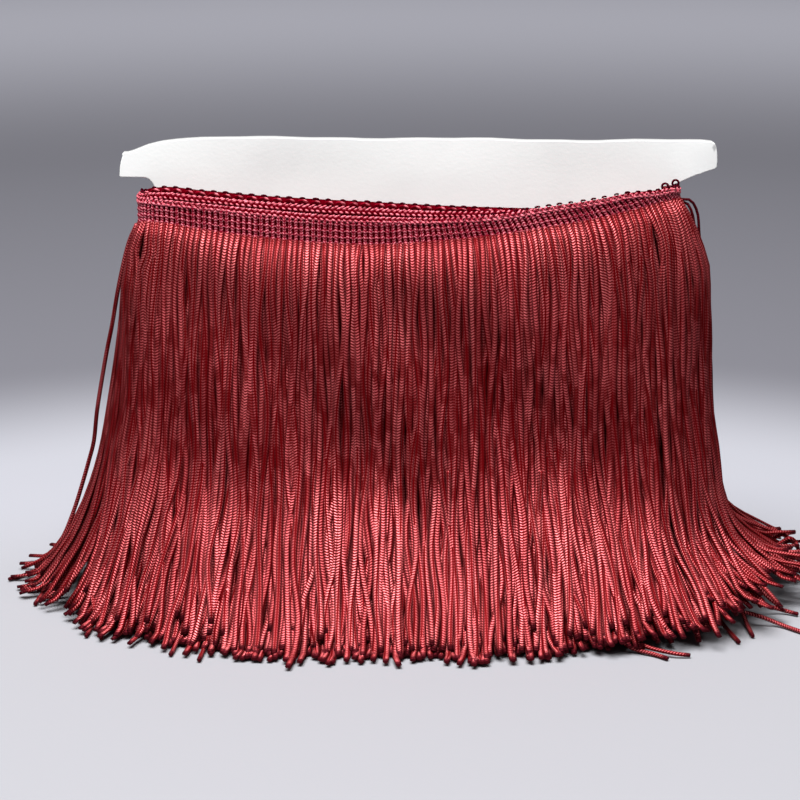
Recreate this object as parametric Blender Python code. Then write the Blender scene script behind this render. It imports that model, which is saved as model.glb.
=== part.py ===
"""A roll of spaghetti fringe on its card, standing on its own strands.

The fringe is a knitted heading tape with long chainette strands. The tape is wound round the neck of
an upright card, and the strands hang from it on all sides, flare out and come to rest on the surface.
Metres, +Z up. The card faces -Y. The origin is on the surface, under the middle of the whole roll.
"""

import math
import random

import bmesh
import bpy
from mathutils import Vector

# The card, whose clipped and notched top end shows above the tape
CARD_THICKNESS = 0.0030
NECK_LEFT = -0.0881
NECK_RIGHT = 0.0815
# The worn right end, from the neck outwards and up, then along the top edge to the clipped left corner
CARD_RIGHT_AND_TOP = (
    {"x": NECK_RIGHT, "z": 0.1402},
    {"x": 0.0845, "z": 0.1404},
    {"x": 0.0874, "z": 0.1414},
    {"x": 0.0940, "z": 0.1441},
    {"x": 0.0991, "z": 0.1459},
    {"x": 0.0997, "z": 0.1466},
    {"x": 0.0994, "z": 0.1530},
    {"x": 0.0982, "z": 0.1548},
    {"x": 0.0940, "z": 0.1552},
    {"x": 0.0520, "z": 0.1554},
    {"x": 0.0110, "z": 0.1558},
    {"x": -0.0310, "z": 0.1562},
    {"x": -0.0640, "z": 0.1564},
    {"x": -0.0789, "z": 0.1559},
    {"x": -0.0869, "z": 0.1551},
    {"x": -0.0969, "z": 0.1514},
    {"x": -0.0985, "z": 0.1508},
    {"x": -0.0995, "z": 0.1480},
)
# The left flange's underside, and the rounded notch that it ends in
FLANGE_LEFT = -0.0998
FLANGE_UNDERSIDE = 0.1430
NOTCH_ROUND = {"across": 0.0036, "down": 0.0042, "steps": 4}

# The wound tape, seen from above: an outline that is round at its ends and full in the middle
ROLL_MIDDLE_X = -0.0033
ROLL_HALF_LENGTH = 0.0913
ROLL_HALF_DEPTH = 0.0250
ROLL_ROUNDNESS = 3.0
ROLL_CORNER_SHARE = 0.942
ROLL_FRONT_STEPS = 8
ROLL_END_STEPS = 3
# Each main turn's top: its share of the way from the outer turn up to the crest, and how far it has sunk
# again, as a share of the tape's height
TURNS = (
    {"crest": 0.15, "sunk": 0.00},
    {"crest": 0.85, "sunk": 0.00},
    {"crest": 1.00, "sunk": 0.10},
    {"crest": 1.00, "sunk": 0.22},
    {"crest": 1.00, "sunk": 0.34},
)
TURN_GROOVE = 0.0011
TURN_FLAT_SHARE = 0.72
TURN_GROOVE_SHARE = 0.86
CLEARANCE = 0.0003

# How the tape hangs along the card: its lower edge, the outer turn's top and the crest of the inner turns
TAPE_SAG = (
    {"x": -0.0946, "lower": 0.1288, "outer": 0.1374, "crest": 0.1369},
    {"x": -0.0915, "lower": 0.1295, "outer": 0.1380, "crest": 0.1386},
    {"x": -0.0850, "lower": 0.1303, "outer": 0.1384, "crest": 0.1400},
    {"x": -0.0720, "lower": 0.1290, "outer": 0.1380, "crest": 0.1399},
    {"x": -0.0520, "lower": 0.1268, "outer": 0.1366, "crest": 0.1388},
    {"x": -0.0320, "lower": 0.1252, "outer": 0.1350, "crest": 0.1378},
    {"x": -0.0130, "lower": 0.1247, "outer": 0.1343, "crest": 0.1369},
    {"x": 0.0070, "lower": 0.1259, "outer": 0.1342, "crest": 0.1360},
    {"x": 0.0260, "lower": 0.1279, "outer": 0.1352, "crest": 0.1358},
    {"x": 0.0460, "lower": 0.1308, "outer": 0.1380, "crest": 0.1360},
    {"x": 0.0600, "lower": 0.1331, "outer": 0.1398, "crest": 0.1366},
    {"x": 0.0730, "lower": 0.1356, "outer": 0.1416, "crest": 0.1386},
    {"x": 0.0810, "lower": 0.1370, "outer": 0.1416, "crest": 0.1398},
    {"x": 0.0855, "lower": 0.1370, "outer": 0.1406, "crest": 0.1396},
    {"x": 0.0880, "lower": 0.1364, "outer": 0.1390, "crest": 0.1384},
)

# The strands: each row has its own root line under the tape, and falls along its own profile.
# drop is the share of the root's height that is left; front, left and right are how far a strand has
# swung outwards there at the front or back and at the two ends. Near the surface the locks lie in a
# heap: heap is the share of the row's heap height that its ridge stands up there.
STRIP_HEIGHT = 0.0020
LOCK_FILL = 0.74
OUTER_ROW = {
    "half_length": ROLL_HALF_LENGTH - 0.0003,
    "half_depth": ROLL_HALF_DEPTH - 0.0003,
    "strip_depth": 0.0017,
    "locks": 172,
    "lock_height": 0.0020,
    "tail": 0.0066,
    "tip_scatter": 0.0016,
    "wander": 0.0015,
    "ripple": 0.0009,
    "seed": 11,
    "heap": {"front": 0.0030, "left": 0.0020, "right": 0.0080},
    "tip_heap": 0.30,
    "fall": (
        {"drop": 0.92, "front": 0.0040, "left": 0.0030, "right": 0.0046, "heap": 0.0},
        {"drop": 0.70, "front": 0.0070, "left": 0.0062, "right": 0.0080, "heap": 0.0},
        {"drop": 0.40, "front": 0.0118, "left": 0.0116, "right": 0.0114, "heap": 0.0},
        {"drop": 0.20, "front": 0.0205, "left": 0.0214, "right": 0.0168, "heap": 0.2},
        {"drop": 0.08, "front": 0.0315, "left": 0.0308, "right": 0.0311, "heap": 0.8},
        {"drop": 0.00, "front": 0.0400, "left": 0.0400, "right": 0.0448, "heap": 1.0},
    ),
}
INNER_ROW = {
    "half_length": ROLL_HALF_LENGTH - 0.0030,
    "half_depth": ROLL_HALF_DEPTH - 0.0068,
    "strip_depth": 0.0017,
    "locks": 78,
    "lock_height": 0.0022,
    "tail": 0.0075,
    "tip_scatter": 0.0010,
    "wander": 0.0010,
    "ripple": 0.0006,
    "seed": 23,
    "heap": {"front": 0.0, "left": 0.0, "right": 0.0},
    "tip_heap": 0.0,
    "fall": (
        {"drop": 0.80, "front": 0.0040, "left": 0.0036, "right": 0.0036, "heap": 0.0},
        {"drop": 0.45, "front": 0.0080, "left": 0.0074, "right": 0.0066, "heap": 0.0},
        {"drop": 0.18, "front": 0.0150, "left": 0.0140, "right": 0.0120, "heap": 0.0},
        {"drop": 0.00, "front": 0.0240, "left": 0.0230, "right": 0.0230, "heap": 0.0},
    ),
}
FAN_ROUNDNESS = 2.4
OUTLINE_SAMPLES = 720
END_SHARE = 0.955

RED = (0.36, 0.018, 0.026, 1.0)
DEEP_RED = (0.20, 0.010, 0.016, 1.0)
TAPE_RED = (0.34, 0.020, 0.040, 1.0)
WHITE = (0.86, 0.86, 0.85, 1.0)


def clear_scene():
    for old in list(bpy.data.objects):
        bpy.data.objects.remove(old, do_unlink=True)


def material(name, colour, roughness):
    made = bpy.data.materials.new(name)
    made.use_nodes = True
    shader = made.node_tree.nodes["Principled BSDF"]
    shader.inputs["Base Color"].default_value = colour
    shader.inputs["Roughness"].default_value = roughness
    shader.inputs["Metallic"].default_value = 0.0
    return made


def finish(name, bm, finish_material):
    """Turns a bmesh into a named object whose faces point outwards."""
    bmesh.ops.recalc_face_normals(bm, faces=bm.faces)
    if bm.calc_volume(signed=True) < 0.0:
        bmesh.ops.reverse_faces(bm, faces=bm.faces)
    mesh = bpy.data.meshes.new(name)
    bm.to_mesh(mesh)
    bm.free()
    mesh.materials.append(finish_material)
    made = bpy.data.objects.new(name, mesh)
    bpy.context.scene.collection.objects.link(made)
    return made


def smooth_between(rows, key, x):
    """A column of a table at x, along a smooth curve through the rows."""
    if x <= rows[0]["x"]:
        return rows[0][key]
    if x >= rows[-1]["x"]:
        return rows[-1][key]
    last = len(rows) - 1
    at = next(i for i in range(last) if x <= rows[i + 1]["x"])
    before, start, end, after = (rows[max(0, min(last, at + k))] for k in (-1, 0, 1, 2))
    span = end["x"] - start["x"]
    share = (x - start["x"]) / span
    slope_in = (end[key] - before[key]) / (end["x"] - before["x"]) * span
    slope_out = (after[key] - start[key]) / (after["x"] - start["x"]) * span
    share2, share3 = share**2, share**3
    return (
        (2 * share3 - 3 * share2 + 1) * start[key]
        + (share3 - 2 * share2 + share) * slope_in
        + (3 * share2 - 2 * share3) * end[key]
        + (share3 - share2) * slope_out
    )


def tape_lower(x):
    return smooth_between(TAPE_SAG, "lower", x)


def turn_top(x, turn):
    lower = tape_lower(x)
    outer = smooth_between(TAPE_SAG, "outer", x)
    top = outer + turn["crest"] * (smooth_between(TAPE_SAG, "crest", x) - outer)
    return top - turn["sunk"] * (top - lower)


def oval_other(value, reach, other_reach, roundness):
    """The other coordinate of a point on the oval |x/a|^n + |y/b|^n = 1."""
    rest = max(0.0, 1.0 - (abs(value) / reach) ** roundness)
    return other_reach * rest ** (1.0 / roundness)


def oval_normal(x, y, half_length, half_depth, roundness):
    """The way out of the oval at (x, y), with x from the oval's middle."""
    power = roundness - 1.0
    out = Vector(
        (
            math.copysign((abs(x) / half_length) ** power / half_length, x),
            math.copysign((abs(y) / half_depth) ** power / half_depth, y),
            0.0,
        )
    )
    return out.normalized()


# The card
def card_outline():
    """The card's corners in x and z, anticlockwise seen from the front."""
    outline = [(NECK_LEFT, 0.0), (NECK_RIGHT, 0.0)]
    outline += [(corner["x"], corner["z"]) for corner in CARD_RIGHT_AND_TOP]
    outline.append((FLANGE_LEFT, FLANGE_UNDERSIDE))
    middle_x = NECK_LEFT - NOTCH_ROUND["across"]
    middle_z = FLANGE_UNDERSIDE - NOTCH_ROUND["down"]
    for step in range(NOTCH_ROUND["steps"] + 1):
        angle = math.radians(90.0 * (1 - step / NOTCH_ROUND["steps"]))
        outline.append(
            (
                middle_x + NOTCH_ROUND["across"] * math.cos(angle),
                middle_z + NOTCH_ROUND["down"] * math.sin(angle),
            )
        )
    return outline


def build_card(finish_material):
    bm = bmesh.new()
    front = bm.faces.new(
        [bm.verts.new((x, -CARD_THICKNESS / 2, z)) for x, z in card_outline()]
    )
    grown = bmesh.ops.extrude_face_region(bm, geom=[front], use_keep_orig=True)
    moved = [v for v in grown["geom"] if isinstance(v, bmesh.types.BMVert)]
    bmesh.ops.translate(bm, verts=moved, vec=(0.0, CARD_THICKNESS, 0.0))
    return finish("card", bm, finish_material)


# The wound tape
def roll_quarter():
    """One quarter of the roll from above: pairs of an outer and an inner point, from the middle to the end."""
    corner = ROLL_HALF_LENGTH * ROLL_CORNER_SHARE
    inner_x = (NECK_RIGHT - NECK_LEFT) / 2 + CLEARANCE
    inner_y = CARD_THICKNESS / 2 + CLEARANCE
    pairs = []
    for step in range(ROLL_FRONT_STEPS + 1):
        share = math.sin(math.radians(90.0 * step / ROLL_FRONT_STEPS))
        x = corner * share
        y = oval_other(x, ROLL_HALF_LENGTH, ROLL_HALF_DEPTH, ROLL_ROUNDNESS)
        pairs.append(((x, y), (inner_x * share, inner_y)))
    corner_y = pairs[-1][0][1]
    for step in range(1, ROLL_END_STEPS + 1):
        share = 1.0 - step / ROLL_END_STEPS
        y = corner_y * share
        x = oval_other(y, ROLL_HALF_DEPTH, ROLL_HALF_LENGTH, ROLL_ROUNDNESS)
        pairs.append(((x, y), (inner_x, inner_y * share)))
    return pairs


def roll_stations():
    """The quarter mirrored into the whole ring of stations."""
    quarter = roll_quarter()
    ring = []
    for sign_x, sign_y, part in (
        (1, -1, quarter[:-1]),
        (1, 1, quarter[:0:-1]),
        (-1, 1, quarter[:-1]),
        (-1, -1, quarter[:0:-1]),
    ):
        ring += [
            tuple((sign_x * x, sign_y * y) for x, y in pair)
            for pair in part
        ]
    return ring


def turn_section(x):
    """The tape's cross-section at x: share of the way in, and height of the turns' tops and grooves."""
    section = []
    for index, turn in enumerate(TURNS):
        top = turn_top(x, turn)
        section += [
            (index / len(TURNS), top),
            ((index + TURN_FLAT_SHARE) / len(TURNS), top),
            ((index + TURN_GROOVE_SHARE) / len(TURNS), top - TURN_GROOVE),
        ]
    section[-1] = (1.0, section[-2][1])
    return section


def build_tape(finish_material):
    """One solid of the wound tape's outer form, with its main turns stepped along the top."""
    bm = bmesh.new()
    rings = []
    for outer, inner in roll_stations():
        points = []
        for share, top in turn_section(ROLL_MIDDLE_X + outer[0]):
            x = ROLL_MIDDLE_X + outer[0] + (inner[0] - outer[0]) * share
            y = outer[1] + (inner[1] - outer[1]) * share
            points.append((x, y, top))
        for share in (1.0, 0.0):
            x = ROLL_MIDDLE_X + outer[0] + (inner[0] - outer[0]) * share
            y = outer[1] + (inner[1] - outer[1]) * share
            points.append((x, y, tape_lower(x)))
        rings.append([bm.verts.new(p) for p in points])
    for here, there in zip(rings, rings[1:] + rings[:1]):
        for k, vert in enumerate(here):
            after = (k + 1) % len(here)
            bm.faces.new((vert, there[k], there[after], here[after]))
    return finish("wound_tape", bm, finish_material)


# The strands
def root_line(row):
    """The row's root outline as dense points, each with its place, its way out and the length up to it."""
    points = []
    travelled = 0.0
    fan_travelled = 0.0
    reach = row["fall"][-1]["front"]
    for sample in range(OUTLINE_SAMPLES + 1):
        angle = 2 * math.pi * sample / OUTLINE_SAMPLES - math.pi / 2
        cosine, sine = math.cos(angle), math.sin(angle)
        power = 2.0 / ROLL_ROUNDNESS
        x = row["half_length"] * math.copysign(abs(cosine) ** power, cosine)
        y = row["half_depth"] * math.copysign(abs(sine) ** power, sine)
        out = oval_normal(x, y, row["half_length"], row["half_depth"], FAN_ROUNDNESS)
        place = Vector((x, y, 0.0))
        if points:
            travelled += (place - points[-1]["place"]).length
            fan_travelled += (place + out * reach - points[-1]["place"] - points[-1]["out"] * reach).length
        points.append({"place": place, "out": out, "along": travelled + fan_travelled})
    return points


def slow_wave(index):
    """An uneven wave along the row, which gathers some neighbours and parts others."""
    return math.sin(0.31 * index) + 0.5 * math.sin(0.83 * index + 1.0)


def spread_locks(row):
    """The locks' roots, spaced by a mean of the spacing at the root and at the floor."""
    line = root_line(row)
    total = line[-1]["along"]
    chance = random.Random(row["seed"])
    locks = []
    at = 0
    for index in range(row["locks"]):
        target = total * (index + 0.5) / row["locks"]
        while line[at + 1]["along"] < target:
            at += 1
        start, end = line[at], line[at + 1]
        share = (target - start["along"]) / (end["along"] - start["along"])
        place = start["place"].lerp(end["place"], share)
        out = start["out"].lerp(end["out"], share).normalized()
        locks.append(
            {
                "place": place + Vector((ROLL_MIDDLE_X, 0.0, 0.0)),
                "out": out,
                "side": Vector((-out.y, out.x, 0.0)),
                "wander": row["wander"] * slow_wave(index),
                "ripple": row["ripple"] * slow_wave(1.7 * index + 4.0),
                "tail": row["tail"] + row["tip_scatter"] * chance.uniform(-1.0, 1.0),
                "from_middle": place.x / row["half_length"],
            }
        )
    return locks


def lock_profile(row, lock):
    """How far out and how high the lock's line is, and how high its ridge stands, from root to tip."""
    root_z = tape_lower(lock["place"].x) - CLEARANCE - STRIP_HEIGHT
    end_side = "right" if lock["from_middle"] > 0 else "left"
    end_share = abs(lock["from_middle"]) ** 3
    heap = row["heap"]["front"] + (row["heap"][end_side] - row["heap"]["front"]) * end_share
    profile = [(0.0, root_z, row["lock_height"])]
    for point in row["fall"]:
        out = point["front"] + (point[end_side] - point["front"]) * end_share
        out += lock["ripple"] * (1.0 - point["drop"])
        profile.append((out, root_z * point["drop"], row["lock_height"] + heap * point["heap"]))
    tip_ridge = row["lock_height"] + heap * row["tip_heap"]
    profile.append((profile[-1][0] + lock["tail"], 0.0, tip_ridge))
    return profile


def lock_path(row, lock):
    """The lock's line from its root to its tip, with its ridge and the way that this faces at each point."""
    profile = lock_profile(row, lock)
    last = len(profile) - 1
    path = []
    for index, (out, z, ridge) in enumerate(profile):
        before = profile[max(0, index - 1)]
        after = profile[min(last, index + 1)]
        down = Vector((after[0] - before[0], 0.0, after[1] - before[1])).normalized()
        lying = index >= last - 1
        faces_up = 1.0 if lying else down.x
        faces_out = 0.0 if lying else -down.z
        centre = lock["place"] + lock["out"] * out + lock["side"] * lock["wander"] * index / last
        path.append(
            {
                "centre": Vector((centre.x, centre.y, z)),
                "facing": lock["out"] * faces_out + Vector((0.0, 0.0, faces_up)),
                "ridge": ridge,
            }
        )
    return path


def build_fringe(name, row, locks, finish_material):
    """A narrow strip under the tape's edge, with its locks drawn out of the strip's underside."""
    bm = bmesh.new()
    paths = [lock_path(row, lock) for lock in locks]
    last = len(locks) - 1
    steps = len(paths[0])
    widths = []
    for index in range(len(locks)):
        before, after = paths[max(0, index - 1)], paths[min(last, index + 1)]
        count = min(last, index + 1) - max(0, index - 1)
        widths.append(
            [LOCK_FILL * (after[k]["centre"] - before[k]["centre"]).length / count for k in range(steps)]
        )

    def section(index, step):
        point = paths[index][step]
        half = locks[index]["side"] * widths[index][step] / 2
        foot = point["centre"]
        if step == 0:
            foot = foot - point["facing"] * row["strip_depth"]
            return [foot + half, foot - half, point["centre"]]
        return [foot + half, foot - half, foot + point["facing"] * point["ridge"]]

    roots = [[bm.verts.new(co) for co in section(index, 0)] for index in range(len(locks))]
    tips = [bm.faces.new(root) for root in roots]
    for here, there in zip(roots, roots[1:]):
        bm.faces.new((here[0], there[1], there[2], here[2]))
    strip = bmesh.ops.extrude_face_region(bm, geom=list(bm.faces), use_keep_orig=True)
    raised = [v for v in strip["geom"] if isinstance(v, bmesh.types.BMVert)]
    bmesh.ops.translate(bm, verts=raised, vec=(0.0, 0.0, STRIP_HEIGHT))
    for index, (tip, above) in enumerate(zip(tips, roots)):
        bm.faces.remove(tip)
        for step in range(1, steps):
            below = [bm.verts.new(co) for co in section(index, step)]
            for k, vert in enumerate(above):
                after = (k + 1) % len(above)
                bm.faces.new((vert, above[after], below[after], below[k]))
            above = below
        bm.faces.new(above)
    return finish(name, bm, finish_material)


def split_sides(locks):
    """The row's locks by the side of the roll that they hang on, each a run of neighbours."""
    sides = {"front": [], "right": [], "back": [], "left": []}
    first_right = next(i for i, lock in enumerate(locks) if lock["from_middle"] > END_SHARE)
    for lock in locks[first_right:] + locks[:first_right]:
        if lock["from_middle"] > END_SHARE:
            sides["right"].append(lock)
        elif lock["from_middle"] < -END_SHARE:
            sides["left"].append(lock)
        else:
            sides["back" if lock["place"].y > 0 else "front"].append(lock)
    return sides


def main():
    clear_scene()
    card_white = material("card_white", WHITE, 0.55)
    tape_red = material("tape_red", TAPE_RED, 0.60)
    strand_red = material("strand_red", RED, 0.45)
    inner_red = material("inner_strand_red", DEEP_RED, 0.50)
    build_card(card_white)
    build_tape(tape_red)
    for row_name, row, finish_material in (
        ("outer", OUTER_ROW, strand_red),
        ("inner", INNER_ROW, inner_red),
    ):
        for side, locks in split_sides(spread_locks(row)).items():
            build_fringe(f"fringe_{row_name}_{side}", row, locks, finish_material)


main()
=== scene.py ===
import math

import bmesh
import bpy
import numpy as np
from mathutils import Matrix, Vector


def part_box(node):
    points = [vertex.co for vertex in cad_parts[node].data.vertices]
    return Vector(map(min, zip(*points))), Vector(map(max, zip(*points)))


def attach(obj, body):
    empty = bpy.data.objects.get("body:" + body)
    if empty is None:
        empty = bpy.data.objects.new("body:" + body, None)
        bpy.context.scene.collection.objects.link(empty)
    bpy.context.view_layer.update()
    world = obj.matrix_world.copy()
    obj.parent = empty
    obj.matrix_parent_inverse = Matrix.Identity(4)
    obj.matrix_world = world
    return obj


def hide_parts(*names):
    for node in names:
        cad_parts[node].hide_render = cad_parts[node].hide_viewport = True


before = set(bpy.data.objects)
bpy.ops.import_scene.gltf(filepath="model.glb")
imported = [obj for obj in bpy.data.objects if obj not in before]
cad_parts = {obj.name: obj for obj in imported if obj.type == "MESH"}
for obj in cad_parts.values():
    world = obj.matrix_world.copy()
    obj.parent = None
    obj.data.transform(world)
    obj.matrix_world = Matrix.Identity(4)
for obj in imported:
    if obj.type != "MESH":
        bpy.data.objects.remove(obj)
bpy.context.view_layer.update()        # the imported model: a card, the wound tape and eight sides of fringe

rollLow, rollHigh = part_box("wound_tape")
cardLow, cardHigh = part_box("card")

scene = bpy.context.scene
scene.view_settings.view_transform = "Standard"


def addObject(name, data):
    made = bpy.data.objects.new(name, data)
    scene.collection.objects.link(made)
    return made


# camera
cameraSet = {
    "distance": 0.9,
    "elevation": 15.0,  # degrees above the table
    "aim": (-0.0062, 0.0, 0.0656),
    "lens": 118.3,
    "sensor": 36.0,
}


def makeCamera():
    data = bpy.data.cameras.new("camera")
    data.lens = cameraSet["lens"]
    data.sensor_width = cameraSet["sensor"]
    data.clip_end = 20.0
    made = addObject("camera", data)
    rise = math.radians(cameraSet["elevation"])
    back = Vector((0.0, -math.cos(rise), math.sin(rise)))
    made.location = Vector(cameraSet["aim"]) + back * cameraSet["distance"]
    made.rotation_euler = back.to_track_quat("Z", "Y").to_euler()
    scene.camera = made


makeCamera()
print("camera: done")


# node helpers
def newGroup(name, inputs, outputs):
    # a node group that takes a vector and these numbers, and gives the others
    group = bpy.data.node_groups.new(name, "ShaderNodeTree")
    group.interface.new_socket(name="Vector", in_out="INPUT", socket_type="NodeSocketVector")
    for label, value in inputs.items():
        socket = group.interface.new_socket(name=label, in_out="INPUT", socket_type="NodeSocketFloat")
        socket.default_value = value
    for label in outputs:
        group.interface.new_socket(name=label, in_out="OUTPUT", socket_type="NodeSocketFloat")
    return group, group.nodes.new("NodeGroupInput"), group.nodes.new("NodeGroupOutput")


def connect(tree, source, target):
    tree.links.new(source, target)


def setInput(tree, socket, value):
    if isinstance(value, bpy.types.NodeSocket):
        connect(tree, value, socket)
    else:
        socket.default_value = value


def setValues(node, **values):
    for label, value in values.items():
        node.inputs[label.replace("_", " ")].default_value = value


def splitVector(tree, vector):
    node = tree.nodes.new("ShaderNodeSeparateXYZ")
    connect(tree, vector, node.inputs[0])
    return node.outputs


def mathNode(tree, operation, a, b=None, c=None):
    node = tree.nodes.new("ShaderNodeMath")
    node.operation = operation
    for socket, value in zip(node.inputs, (a, b, c)):
        if value is not None:
            setInput(tree, socket, value)
    return node.outputs[0]


def plus(tree, a, b):
    return mathNode(tree, "ADD", a, b)


def minus(tree, a, b):
    return mathNode(tree, "SUBTRACT", a, b)


def times(tree, a, b):
    return mathNode(tree, "MULTIPLY", a, b)


def mixColour(tree, share, a, b):
    node = tree.nodes.new("ShaderNodeMix")
    node.data_type = "RGBA"
    setInput(tree, node.inputs["Factor"], share)
    setInput(tree, node.inputs["A"], a)
    setInput(tree, node.inputs["B"], b)
    return node.outputs["Result"]


def noiseNode(tree, vector, scale, detail=3.0, roughness=0.5):
    node = tree.nodes.new("ShaderNodeTexNoise")
    connect(tree, vector, node.inputs["Vector"])
    setValues(node, Scale=scale, Detail=detail, Roughness=roughness)
    return node.outputs["Fac"]


def attributeNode(tree, name):
    node = tree.nodes.new("ShaderNodeAttribute")
    node.attribute_name = name
    return node.outputs["Fac"]


def rangeNode(tree, value, fromLow, fromHigh, toLow=0.0, toHigh=1.0):
    node = tree.nodes.new("ShaderNodeMapRange")
    node.interpolation_type = "SMOOTHSTEP"
    setInput(tree, node.inputs["Value"], value)
    setValues(node, From_Min=fromLow, From_Max=fromHigh, To_Min=toLow, To_Max=toHigh)
    return node.outputs["Result"]


def bumpNode(tree, height, strength, distance):
    node = tree.nodes.new("ShaderNodeBump")
    setValues(node, Strength=strength, Distance=distance)
    connect(tree, height, node.inputs["Height"])
    return node.outputs["Normal"]


def newMaterial(name, look):
    made = bpy.data.materials.new(name)
    made.use_nodes = True
    shader = made.node_tree.nodes["Principled BSDF"]
    setValues(shader, Roughness=look["roughness"], Specular_IOR_Level=look["gloss"])
    return made, made.node_tree, shader


# the knitted chain of each strand: chevrons that run along it, read from the strand's own UV map
chainSet = {
    "edge": (0.45, 0.95),  # where the painted shade at a strand's edges starts and is full
    "groove": 0.35,  # half the width of the groove between the chevrons
    "grooveLeft": 0.35,  # and how much of a stitch's height is left in it
    "yarn": (0.4, 0.86),  # the stitch's own colour starts and is full at these heights; below them is painted shade in the hollows
    "tip": (2.6, 1.2),  # the cut end's colour, in millimetres from the tip
    "starts": 7.0,  # the strands' stitches start this differently
}


def makeChainGroup():
    group, given, out = newGroup(
        "knittedChain",
        {"Tone": 0.5, "Stitch": 1.1, "Chevrons": 2.0, "Rise": 1.0, "Turning": 0.02},
        ("Height", "Yarn", "EdgeShade", "Tip"),
    )
    around, along, _ = splitVector(group, given.outputs["Vector"])
    # the two edges of a flat strand are where the length around is a half or nothing
    edge = mathNode(group, "ABSOLUTE", mathNode(group, "COSINE", times(group, around, 2.0 * math.pi)))
    connect(group, rangeNode(group, edge, *chainSet["edge"]), out.inputs["EdgeShade"])
    fromMiddle = minus(group, given.outputs["Tone"], 0.5)
    turned = times(group, times(group, fromMiddle, given.outputs["Turning"]), along)
    around = plus(group, around, plus(group, turned, given.outputs["Tone"]))
    column = mathNode(group, "FRACT", times(group, around, given.outputs["Chevrons"]))
    fold = mathNode(group, "ABSOLUTE", minus(group, times(group, column, 2.0), 1.0))
    ownStart = times(group, given.outputs["Tone"], chainSet["starts"])
    rows = plus(group, mathNode(group, "DIVIDE", along, given.outputs["Stitch"]), ownStart)
    leg = times(group, fold, given.outputs["Rise"])
    wave = mathNode(group, "SINE", times(group, plus(group, rows, leg), 2.0 * math.pi))
    stitch = mathNode(group, "MULTIPLY_ADD", wave, 0.5, 0.5)
    groove = rangeNode(group, fold, 0.0, chainSet["groove"], chainSet["grooveLeft"], 1.0)
    height = times(group, stitch, groove)
    connect(group, height, out.inputs["Height"])
    connect(group, rangeNode(group, height, *chainSet["yarn"]), out.inputs["Yarn"])
    connect(group, rangeNode(group, along, *chainSet["tip"]), out.inputs["Tip"])
    return group


chainGroup = makeChainGroup()

# strand and tape yarns: a silky crimson with painted shade in the hollows between the stitches.
# tip, painted shade streaks and silk stand only where a yarn has them
strandYarn = {
    # deep: the painted shade of hollows, edges and shaded stretches, and the darker tone of some strands
    "deep": (0.094, 0.0005, 0.0016, 1.0),
    "bright": (0.64, 0.136, 0.149, 1.0),
    "warmer": (0.71, 0.18, 0.189, 1.0),
    "tip": (0.055, 0.004, 0.007, 1.0),  # the cut ends are dark
    "edge": 0.55,  # share of the deep colour at a strand's two edges, painted shade between neighbouring strands
    "uneven": 0.45,  # how much darker some strands are than others
    "shadeStreaks": 0.74,  # painted shade: darker stretches of a strand, half way down
    "roughness": 0.5,
    "gloss": 0.06,
    "silk": 0.86,  # share of coloured, mirror-like shine
    "hollowSilk": 0.25,  # how much of it the hollows between the stitches have
    "stitch": 0.94,  # millimetres along the strand
    "rise": 0.75,
    "bump": 0.7,
}
tapeYarn = {
    "deep": (0.23, 0.005, 0.02, 1.0),
    "bright": (0.85, 0.22, 0.275, 1.0),
    "warmer": (0.92, 0.28, 0.345, 1.0),
    "edge": 0.0,
    "uneven": 0.15,
    "roughness": 0.48,
    "gloss": 0.08,
    "silk": 0.15,
    "hollowSilk": 0.0,
    "stitch": 0.94,
    "rise": 0.5,
    "bump": 0.5,
}
knotYarn = {  # a painted highlight on each stitch, with painted shade towards its ends
    **tapeYarn,
    "deep": (0.17, 0.0006, 0.008, 1.0),
    "bright": (0.74, 0.165, 0.215, 1.0),
    "warmer": (0.8, 0.205, 0.26, 1.0),
    "silk": 0.1,
    "stitch": 4.2,
    "rise": 0.1,
    "bump": 0.2,
}
shadeYarn = {  # the cloth between the ribs, near black: painted shade in the holes between them
    "deep": (0.05, 0.0001, 0.0016, 1.0),
    "bright": (0.066, 0.0002, 0.0024, 1.0),
    "warmer": (0.08, 0.0003, 0.0032, 1.0),
    "edge": 0.0,
    "uneven": 0.0,
    "roughness": 0.6,
    "gloss": 0.0,
    "stitch": 0.98,
    "rise": 0.3,
    "bump": 0.6,
}
loopYarn = {  # the loops of the upper edge, painted dark as shade
    **shadeYarn,
    "deep": (0.03, 0.0008, 0.0035, 1.0),
    "bright": (0.06, 0.003, 0.008, 1.0),
    "warmer": (0.085, 0.0045, 0.011, 1.0),
}
shadedYarn = {  # two thin strands that arch out, painted dark as shade
    **strandYarn,
    "deep": (0.05, 0.0002, 0.002, 1.0),
    "bright": (0.085, 0.008, 0.014, 1.0),
    "warmer": (0.11, 0.012, 0.018, 1.0),
    "silk": 0.3,
}

yarnSet = {  # for all yarns
    "tint": (1.0, 0.35, 0.35, 1.0),
    "darkSpread": 9.7,  # how differently dark neighbours are
    "darkFrom": 0.3,
    "cloudScale": 55.0,
    "clouds": (0.35, 0.7),
    "cloudShare": 0.35,
    "silkFull": 0.4,  # height in a stitch where its silk is full
    "stitchHeight": 0.00014,
}
shadeStreakSet = {  # painted shade streaks along the strands; lengths are millimetres from the tip
    "scale": 0.07,
    "apart": 300.0,
    "noise": (0.46, 0.6),
    "tipSide": (42.0, 62.0),
    "rootSide": (120.0, 98.0),
}


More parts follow.
